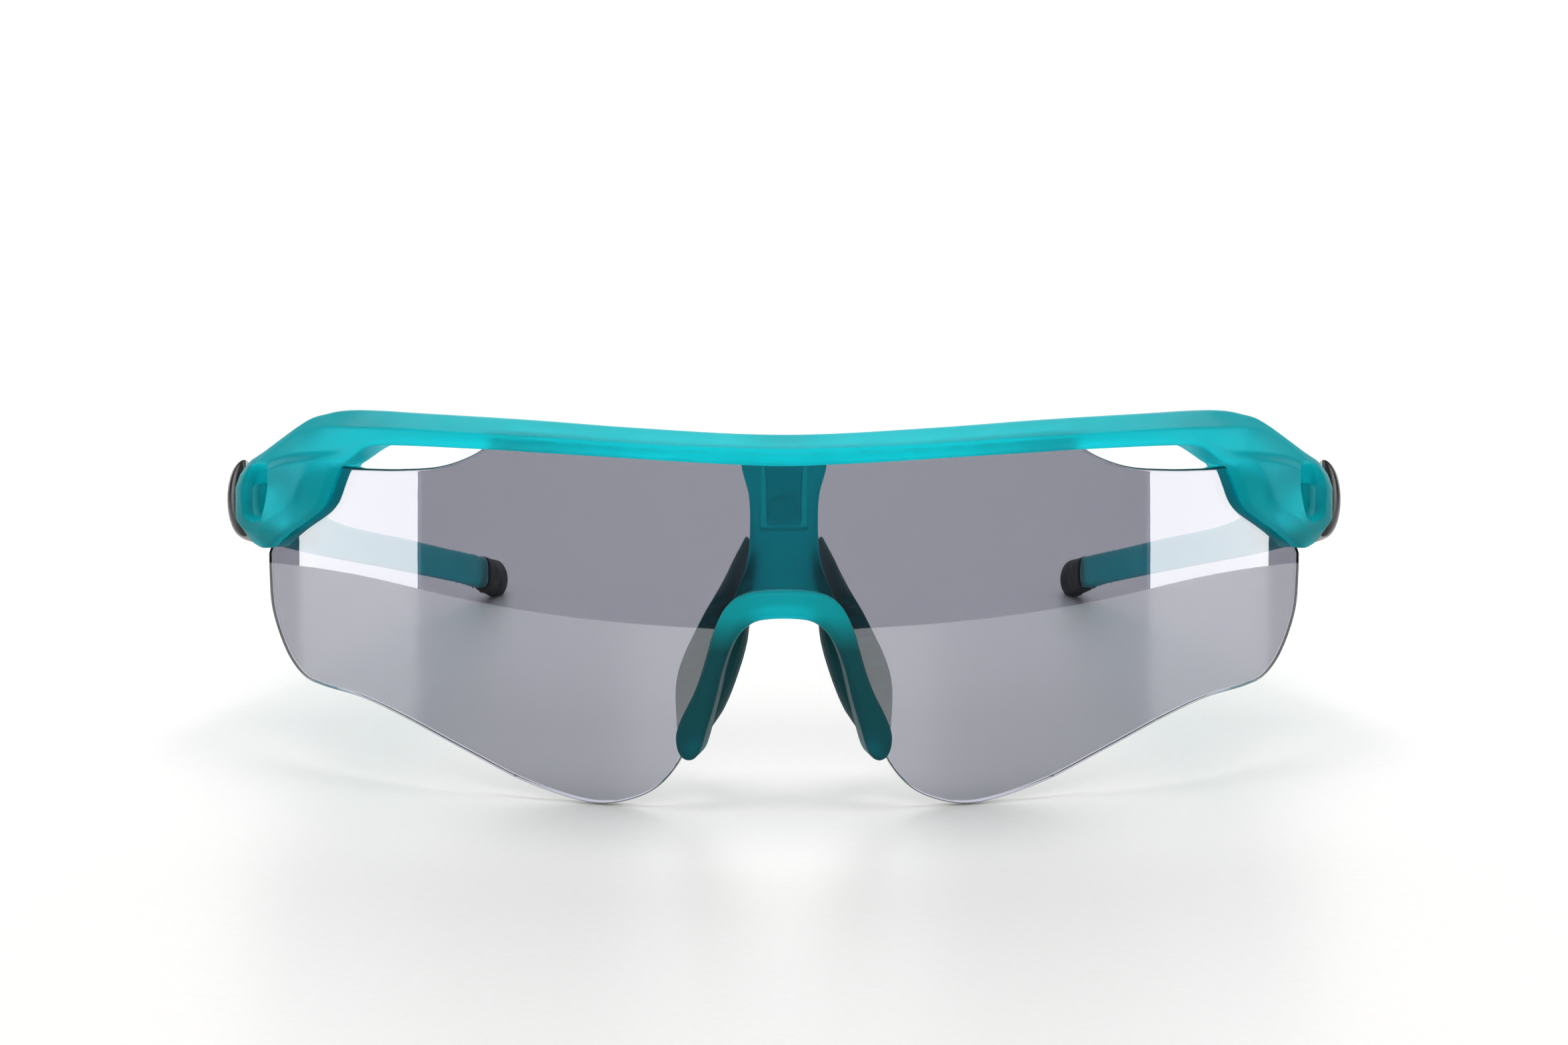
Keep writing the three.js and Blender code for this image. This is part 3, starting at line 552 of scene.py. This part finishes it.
# Lines along the arm as (y, value): its inner side, its outer side, its foot and its top.
ARM_INNER = rail([(41, 64), (48, 64.6), (62, 62.2), (104, 54.7), (142, 47.7), (157, 44.7)])
ARM_OUTER = rail([(41, 70.6), (48, 70.4), (55, 68.4), (63, 65.9), (104, 57.8), (142, 51), (157, 48)])
ARM_FOOT = rail([(41, 30), (48.2, 28.6), (62, 25.7), (104, 19.1), (142, 12.9), (151.4, 10.45), (157, 9.9)])
ARM_TOP = rail([(41, 39.9), (46, 38.9), (54, 34.8), (63, 30.8), (104, 23.8), (142, 17.9), (157, 15.5)])
SPIGOT_INSET = 0.95
SPIGOT_LENGTH = 9


def arm_ring(y, shrink=0.0, squeeze=1.0, sides=40, power=0.5):
    """A rounded box outline across the arm at y, shrunk by a width on every side and then by a factor.

    It is an ellipse at power 1, and squarer below.
    """
    inner, outer, foot, top = (line(y)[0] for line in (ARM_INNER, ARM_OUTER, ARM_FOOT, ARM_TOP))
    angle = 2 * math.pi * (np.arange(sides) + 0.5) / sides
    c, s = np.cos(angle), np.sin(angle)
    x = (inner + outer) / 2 + ((outer - inner) / 2 - shrink) * squeeze * np.sign(c) * np.abs(c) ** power
    z = (foot + top) / 2 + ((top - foot) / 2 - shrink) * squeeze * np.sign(s) * np.abs(s) ** power
    return np.stack([x, np.full(sides, y), z], -1)


def temple(name):
    """The arm, with a spigot for its tip. A knuckle on a web reaches in between the fork's plates."""
    front, rear = WALL_END_Y + GAP, TIP_START_Y - GAP
    rings = [arm_ring(front, 0.3), arm_ring(front + 0.15, 0.08), arm_ring(front + 0.4)]
    rings += [arm_ring(y) for y in np.arange(42.8, 66, 0.8)]
    rings += [arm_ring(y) for y in np.arange(66, rear - 1, 2.5)]
    rings += [arm_ring(rear - 0.3), arm_ring(rear, 0.2)]
    spigot = loft([
        arm_ring(TIP_START_Y - 3, SPIGOT_INSET),
        arm_ring(TIP_START_Y + SPIGOT_LENGTH, SPIGOT_INSET),
    ])
    room = FORK_RADIUS + 2 * GAP
    below, above = FORK_BOTTOM[0] - 5, FORK_TOP[1] + 5
    cleared = [
        post(room, below, above),
        prism([(60, 40), (HINGE.x + 2.5, 40), (HINGE.x + 2.5, HINGE.y), (60, HINGE.y)], below, above),
        prism([(60, 40), (HINGE.x, 40), (HINGE.x, HINGE.y + room), (60, HINGE.y + room)], below, above),
    ]
    thing = combined(name + "_body", [loft(rings), spigot], cleared)
    low, high = FORK_BOTTOM[1] + GAP, FORK_TOP[0] - GAP
    web_inner, web_outer, web_end = HINGE.x - 1.4, HINGE.x + 1.8, 48.4
    web = [(web_inner, HINGE.y), (web_outer, HINGE.y), (web_outer, web_end), (web_inner, web_end)]
    body = bmesh.new()
    body.from_mesh(thing.data)
    bpy.data.objects.remove(thing)
    knuckle = [post(FORK_RADIUS, low, high), prism(web, low + 0.01, high - 0.01)]
    thing = combined(name, [body, *knuckle], [post(SCREW_HOLE_RADIUS, below, above)])
    soften_edges(thing, 0.24, 3)
    return thing


TIP_ROUND_START_Y = 152.2
TIP_SQUARE_LENGTH = 6


def temple_tip(name):
    """The rubber end sleeve. It starts as square as the arm and soon grows round."""
    proud = -0.1
    rings = [arm_ring(TIP_START_Y, proud + 0.3), arm_ring(TIP_START_Y + 0.12, proud + 0.1)]
    for y in np.arange(TIP_START_Y + 0.4, TIP_ROUND_START_Y, 0.8):
        power = np.interp(y, [TIP_START_Y, TIP_START_Y + TIP_SQUARE_LENGTH], [0.55, 1])
        rings.append(arm_ring(y, proud, power=power))
    length = TIP_END_Y - TIP_ROUND_START_Y
    for turn in np.linspace(0, math.pi / 2 * 0.96, 12):
        y = TIP_ROUND_START_Y + length * math.sin(turn)
        rings.append(arm_ring(y, proud, math.cos(turn), power=1))
    socket = loft([
        arm_ring(TIP_START_Y - 1, SPIGOT_INSET - GAP),
        arm_ring(TIP_START_Y + SPIGOT_LENGTH + GAP, SPIGOT_INSET - GAP),
    ])
    floor = prism([(30, 130), (70, 130), (70, 170), (30, 170)], -20, 0)
    bmesh.ops.rotate(floor, matrix=Matrix.Rotation(math.radians(LEAN_DEG), 3, "X"), verts=floor.verts)
    thing = combined(name, [loft(rings)], [socket, floor])
    soften_edges(thing, 0.16, 3)
    return thing


def hinge_cover(name):
    """The glossy cap on the outside of the arm's front end, tapering back with the arm."""
    start = WALL_END_Y + GAP
    front_share = 0.16
    rings = []
    for t in np.concatenate([[0, 0.006, 0.016], np.linspace(0.035, 1, 44)]):
        y = start + (COVER_END_Y - start) * t
        foot, top, face = (line(y)[0] for line in (ARM_FOOT, ARM_TOP, ARM_OUTER))
        rise = math.sqrt(1 - max(0, 1 - t / front_share) ** 2)
        bulge = 0.35 + 2.4 * (0.15 + 0.85 * rise) * (1 - t**3)
        soft = min(1, 0.8 + 12 * t)
        half = (top - foot + 0.3) / 2 * (1 - 0.55 * t**4) * (0.96 + 0.04 * soft)
        angle = np.linspace(-math.pi / 2, math.pi / 2, 33)
        x = face + GAP + 0.15 + bulge * soft * np.cos(angle) ** 0.8
        z = (foot + top) / 2 + half * np.sin(angle)
        back = [(face + GAP, (foot + top) / 2 + side * half * 0.98) for side in (1, -1)]
        outline = np.vstack([np.stack([x, z], -1), back])
        rings.append(np.insert(outline, 1, y, axis=1))
    return as_object(name, loft(rings))


def hinge_screw(name):
    top, under = FORK_TOP[1], FORK_TOP[1] - SCREW_HEAD_HEIGHT
    shaft = [(SCREW_RADIUS, FORK_BOTTOM[0] + 0.2), (SCREW_RADIUS, under)]
    head = [(1.2, under), (SCREW_HEAD_RADIUS, under + 0.1), (SCREW_HEAD_RADIUS, top - 0.2)]
    crown = [(1.22, top - 0.08), (1.1, top - 0.01), (0.6, top + 0.03), (0.05, top + 0.04)]
    slot = [(HINGE.x - 2, HINGE.y - 0.18), (HINGE.x + 2, HINGE.y - 0.18)]
    slot += [(x, HINGE.y + 0.18) for x, _ in slot[::-1]]
    return combined(name, [turned([*shaft, *head, *crown])], [prism(slot, top - 0.35, top + 1)])


def hinge_nut(name):
    low, high = FORK_BOTTOM[0] + 0.1, FORK_BOTTOM[1] - NUT_RECESS_ROOF - GAP
    bevel = 0.15
    sides = [(NUT_RADIUS, low + bevel), (NUT_RADIUS, high - bevel)]
    body = turned([(NUT_RADIUS - bevel, low), *sides, (NUT_RADIUS - bevel, high)])
    return combined(name, [body], [post(SCREW_HOLE_RADIUS, low - 1, high + 1)])


# ---------------------------------------------------------------- materials


def new_material(name):
    """A material, its node tree, its main shader and its object coordinates: metres in the frame."""
    material = bpy.data.materials.new(name)
    material.use_nodes = True
    tree = material.node_tree
    shader = next(n for n in tree.nodes if n.type == "BSDF_PRINCIPLED")
    place_on_object = tree.nodes.new("ShaderNodeTexCoord").outputs["Object"]
    return material, tree, shader, place_on_object


def noise(tree, where, per_metre, detail=3.0, stretch=(1, 1, 1)):
    """A noise value whose features are about 1 / per_metre across."""
    mapping = tree.nodes.new("ShaderNodeMapping")
    mapping.inputs["Scale"].default_value = stretch
    tree.links.new(where, mapping.inputs["Vector"])
    node = tree.nodes.new("ShaderNodeTexNoise")
    node.inputs["Scale"].default_value = per_metre
    node.inputs["Detail"].default_value = detail
    tree.links.new(mapping.outputs["Vector"], node.inputs["Vector"])
    return node.outputs["Fac"]


def ranged(tree, value, low, high, start=0.3, end=0.7):
    """The value, spread from start..end to low..high."""
    node = tree.nodes.new("ShaderNodeMapRange")
    for name, number in (("From Min", start), ("From Max", end), ("To Min", low), ("To Max", high)):
        node.inputs[name].default_value = number
    tree.links.new(value, node.inputs["Value"])
    return node.outputs["Result"]


def blended(tree, value, first, second):
    """A colour that goes from first to second with the value."""
    node = tree.nodes.new("ShaderNodeMix")
    node.data_type = "RGBA"
    tree.links.new(value, node.inputs["Factor"])
    node.inputs["A"].default_value = (*first, 1)
    node.inputs["B"].default_value = (*second, 1)
    return node.outputs["Result"]


def bumped(tree, shader, *layers):
    """Adds bumps from (value, height in metres) layers, one on top of the other."""
    before = None
    for value, height in layers:
        node = tree.nodes.new("ShaderNodeBump")
        node.inputs["Distance"].default_value = height
        tree.links.new(value, node.inputs["Height"])
        if before:
            tree.links.new(before, node.inputs["Normal"])
        before = node.outputs["Normal"]
    tree.links.new(before, shader.inputs["Normal"])


def absorbing(tree, colour, per_metre):
    """Light loses 1 - colour of itself in each 1 / per_metre inside the piece."""
    node = tree.nodes.new("ShaderNodeVolumeAbsorption")
    node.inputs["Color"].default_value = (*colour, 1)
    node.inputs["Density"].default_value = per_metre
    output = next(n for n in tree.nodes if n.type == "OUTPUT_MATERIAL")
    tree.links.new(node.outputs["Volume"], output.inputs["Volume"])


DYE_PER_METRE = 800


def clouded(pale, deep):
    """A colour that drifts a little between pale and deep."""
    return lambda tree, where: blended(tree, ranged(tree, noise(tree, where, 70), 0, 1), pale, deep)


def shaded_below(low, high, deep, pale):
    """A colour that is deep below the height low, and pale above the height high, in metres. The deep part is
    painted shade.
    """
    def colour(tree, where):
        parts = tree.nodes.new("ShaderNodeSeparateXYZ")
        tree.links.new(where, parts.inputs["Vector"])
        return blended(tree, ranged(tree, parts.outputs["Z"], 0, 1, low, high), deep, pale)
    return colour


def frosted(name, base_colour, dye, clearness):
    """Satin, see-through coloured nylon: light passes, but nothing is seen sharply through it."""
    material, tree, shader, where = new_material(name)
    tree.links.new(base_colour(tree, where), shader.inputs["Base Color"])
    grain = noise(tree, where, 2600, 2)
    handling = noise(tree, where, 160, 4)
    tree.links.new(ranged(tree, handling, 0.48, 0.6), shader.inputs["Roughness"])
    bumped(tree, shader, (grain, 0.000012), (handling, 0.00002))
    shader.inputs["IOR"].default_value = 1.4
    shader.inputs["Specular Tint"].default_value = (0.2, 0.9, 1, 1)
    shader.inputs["Transmission Weight"].default_value = clearness
    absorbing(tree, dye, DYE_PER_METRE)
    return material


def lens_material():
    """Smoke-grey polycarbonate with the faintest waviness.

    The lens's mirror coating reflects more than plain plastic, so the index is high.
    """
    material, tree, shader, where = new_material("smoke_polycarbonate")
    bumped(tree, shader, (noise(tree, where, 30, 1), 0.000002))
    shader.inputs["Roughness"].default_value = 0
    shader.inputs["Base Color"].default_value = (1, 1, 1, 1)
    shader.inputs["IOR"].default_value = 2.25
    shader.inputs["Transmission Weight"].default_value = 1
    absorbing(tree, (0.228, 0.24, 0.36), 690)
    return material


def rubber_material():
    """Matte black rubber with a fine moulded grain."""
    material, tree, shader, where = new_material("black_rubber")
    dust = ranged(tree, noise(tree, where, 220, 5), 0, 1, 0.45, 0.8)
    colour = blended(tree, dust, (0.006, 0.006, 0.007), (0.012, 0.012, 0.013))
    tree.links.new(colour, shader.inputs["Base Color"])
    tree.links.new(ranged(tree, noise(tree, where, 400), 0.5, 0.66), shader.inputs["Roughness"])
    bumped(tree, shader, (noise(tree, where, 3200, 2), 0.00002))
    shader.inputs["Specular IOR Level"].default_value = 0.25
    return material


def gloss_material():
    """Half-gloss black plastic with a faint orange-peel surface and a few wipe marks."""
    material, tree, shader, where = new_material("gloss_black")
    wipes = noise(tree, where, 300, 4, (1, 0.12, 4))
    tree.links.new(ranged(tree, wipes, 0.26, 0.34, 0.4, 0.8), shader.inputs["Roughness"])
    smudge = ranged(tree, noise(tree, where, 120), 0, 1)
    colour = blended(tree, smudge, (0.008, 0.008, 0.009), (0.014, 0.014, 0.015))
    tree.links.new(colour, shader.inputs["Base Color"])
    bumped(tree, shader, (noise(tree, where, 350, 1), 0.000004))
    shader.inputs["IOR"].default_value = 1.52
    return material


def metal_material(name, colour, worn):
    """Turned metal: bright, with fine tool marks and slightly duller patches."""
    material, tree, shader, where = new_material(name)
    patch = ranged(tree, noise(tree, where, 900, 4), 0, 1)
    tree.links.new(blended(tree, patch, colour, worn), shader.inputs["Base Color"])
    tree.links.new(ranged(tree, noise(tree, where, 2500), 0.2, 0.36), shader.inputs["Roughness"])
    bumped(tree, shader, (noise(tree, where, 5000, 2, (1, 1, 6)), 0.000006))
    shader.inputs["Metallic"].default_value = 1
    return material


frame_colour = clouded((0.01, 0.98, 1.0), (0.01, 0.94, 0.98))
# The nose piece is painted deep teal below 19.5 mm and pale above 23.8 mm: painted shade on its lower part,
# where the rim's legs sit in front of the pads.
nose_colour_with_painted_shade = shaded_below(0.0195, 0.0238, (0.02, 0.2, 0.23), (0.01, 0.96, 0.99))
# The pads' base colour and dye are far darker than the frame's teal: painted shade, standing in for the shade
# the pads sit in. The drift between the two tones is random.
pad_colour_with_painted_shade = clouded((0.016, 0.2, 0.23), (0.014, 0.16, 0.19))
frame_teal = frosted("teal_nylon", frame_colour, (0.0, 0.88, 0.9), 0.88)
nose_teal_with_painted_shade = frosted("nose_teal_with_painted_shade", nose_colour_with_painted_shade, (0.0, 0.8, 0.83), 0.85)
pad_teal_with_painted_shade = frosted("pad_rubber_teal", pad_colour_with_painted_shade, (0.0, 0.1, 0.13), 0.8)
smoke = lens_material()
rubber = rubber_material()
gloss = gloss_material()
steel = metal_material("screw_steel", (0.66, 0.66, 0.67), (0.5, 0.5, 0.52))
brass = metal_material("nut_brass", (0.78, 0.58, 0.28), (0.6, 0.43, 0.2))

place(front_frame("front_frame_piece"), "front", "front_frame", frame_teal)
place(lens("shield_lens_piece"), "front", "shield_lens", smoke)
place(nose_bridge("nose_bridge_piece"), "front", "nose_bridge", nose_teal_with_painted_shade)
place_pair(pad_piece, "nose_pad", pad_teal_with_painted_shade, "front")
place_pair(temple, "temple", frame_teal)
place_pair(temple_tip, "temple_tip", rubber)
place_pair(hinge_cover, "hinge_cover", gloss)
place_pair(hinge_screw, "hinge_screw", steel, "front")
place_pair(hinge_nut, "hinge_nut", brass, "front")


# ---------------------------------------------------------------- stage, light and camera

FLOOR = {
    "half_width": 0.345,
    "centre": -0.165,
    "reach_front": 0.43,
    "reach_back": 0.3,
    "neck_turn": math.radians(42),
    "rear": 1.6,
}
TABLE_Z = -0.0001
CAMERA_DISTANCE = 0.4385
CAMERA_HEIGHT = 0.103
CAMERA_DOWN_DEG = 8.77
SIDE_PANEL_X = 1.2


def light_panel(name, width, height, centre, look_at, radiance):
    """A soft rectangular light that faces a point. Radiance is its brightness, where white paper is 1."""
    light = bpy.data.lights.new(name, "AREA")
    light.shape = "RECTANGLE"
    light.size, light.size_y = width, height
    light.energy = radiance * math.pi * width * height
    thing = bpy.data.objects.new(name, light)
    bpy.context.scene.collection.objects.link(thing)
    thing.location = centre
    thing.rotation_euler = (Vector(look_at) - Vector(centre)).to_track_quat("-Z", "Y").to_euler()


def make_lights():
    for side in (-1, 1):
        centre = (side * SIDE_PANEL_X, -0.13, 0.025)
        light_panel(f"side_panel_{side + 2}", 0.66, 0.65, centre, (0, centre[1], centre[2]), 3.8)
    light_panel("top_panel", 1.2, 1.2, (0, 0.1, 1.4), (0, 0, 0), 3.6)
    light_panel("front_panel", 2.4, 1.2, (0, -2, 1.3), (0, 0, 0), 4.5)
    light_panel("front_glow", 2.4, 0.6, (0, -2.4, 0.35), (0, 0, 0.3), 0.7)


def make_camera():
    camera = bpy.data.objects.new("camera", bpy.data.cameras.new("camera"))
    bpy.context.scene.collection.objects.link(camera)
    apex = TO_ROW @ Vector((0, 0, 0))
    camera.location = (0, apex.y - CAMERA_DISTANCE, CAMERA_HEIGHT)
    camera.rotation_euler = (math.radians(90 - CAMERA_DOWN_DEG), 0, 0)
    camera.data.lens = 85
    camera.data.sensor_width = 36
    bpy.context.scene.camera = camera


def flat_sheet(name, corners):
    bm = bmesh.new()
    bm.faces.new([bm.verts.new(p) for p in corners])
    thing = as_object(name, bm)
    return thing


def table_outline():
    """An egg-shaped front, then straight sides that run back to the backdrop."""
    half, centre, neck = FLOOR["half_width"], FLOOR["centre"], FLOOR["neck_turn"]
    corners = []
    for turn in np.linspace(math.pi - neck, 2 * math.pi + neck, 65):
        reach = FLOOR["reach_front"] if math.sin(turn) < 0 else FLOOR["reach_back"]
        corners.append((half * math.cos(turn), centre + reach * math.sin(turn), TABLE_Z))
    right, left = corners[-1][0], corners[0][0]
    return [*corners, (right, FLOOR["rear"], TABLE_Z), (left, FLOOR["rear"], TABLE_Z)]


def make_floor():
    floor = flat_sheet("floor", table_outline())
    material, tree, shader, where = new_material("table_laminate")
    mottle = ranged(tree, noise(tree, where, 900, 4), 0, 1)
    colour = blended(tree, mottle, (0.72, 0.712, 0.70), (0.74, 0.732, 0.72))
    tree.links.new(colour, shader.inputs["Base Color"])
    shader.inputs["Roughness"].default_value = 0.38
    shader.inputs["IOR"].default_value = 1.4
    floor.data.materials.append(material)


def make_backdrop():
    y = FLOOR["rear"]
    half, foot, top = 1.6, -0.6, 1.6
    wall = flat_sheet("backdrop", [(-half, y, foot), (half, y, foot), (half, y, top), (-half, y, top)])
    material, _, shader, _ = new_material("backdrop_white")
    shader.inputs["Base Color"].default_value = (0.9, 0.9, 0.9, 1)
    shader.inputs["Emission Color"].default_value = (1, 1, 1, 1)
    shader.inputs["Emission Strength"].default_value = 1.15
    wall.data.materials.append(material)


def make_world():
    world = bpy.data.worlds.new("studio")
    world.use_nodes = True
    background = world.node_tree.nodes["Background"]
    background.inputs["Color"].default_value = (0.04, 0.04, 0.042, 1)
    bpy.context.scene.world = world
    bpy.context.scene.view_settings.view_transform = "Standard"


make_camera()
make_floor()
make_backdrop()
make_world()
make_lights()
